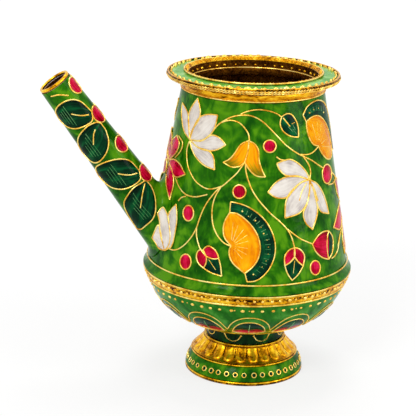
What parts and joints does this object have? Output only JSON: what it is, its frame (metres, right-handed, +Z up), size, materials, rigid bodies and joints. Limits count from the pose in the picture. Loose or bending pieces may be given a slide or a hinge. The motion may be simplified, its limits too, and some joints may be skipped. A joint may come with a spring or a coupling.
{
  "type": "spouted water pot",
  "caption": "Footed brass water pot with a tapered body, wide flared mouth and long straight spout, enamelled with lotus flowers and vines.",
  "frame": {"origin": "centre of the foot's underside, on the pot's turning axis", "axes": "+Z up along the body's axis; the spout leans out and up along -X; +Y completes the right-handed frame"},
  "size_m": [0.1675, 0.1118, 0.1653],
  "materials": {
    "gilding": "polished gilt brass, warm yellow, with darker tarnish in the hollows",
    "dull_gilding": "satin gilt brass, browner, where hands don't reach",
    "leaf_green_enamel": "glossy leaf-green enamel with brushed light and dark strokes",
    "sea_green_enamel": "glossy bluish-green enamel, lightly brushed",
    "deep_green_enamel": "glossy dark-green enamel with fine lighter hatching",
    "white_enamel": "glossy milk-white enamel with faint grey strokes",
    "crimson_enamel": "glossy crimson enamel",
    "marigold_enamel": "glossy orange-yellow enamel with paler veins"
  },
  "bodies": {
    "root": {"base_wire": "gilding", "base_plate": "dull_gilding", "foot_band": "leaf_green_enamel", "pedestal_wire": "gilding", "pedestal": "gilding", "stem_wire": "gilding", "stem": "deep_green_enamel", "lower_bowl": "sea_green_enamel", "lower_waist_wire": "gilding", "waist_band": "gilding", "upper_waist_wire": "gilding", "tapered_wall": "leaf_green_enamel", "wall_foot_wire": "gilding", "spout_tube": "leaf_green_enamel", "spout_lip": "gilding", "neck_collar": "gilding", "rim_plate": "sea_green_enamel", "rim_edge_band": "gilding", "rim_bead_row": "gilding", "mouth_lining": "dull_gilding", "mouth_wire": "gilding"}
  },
  "joints": []
}
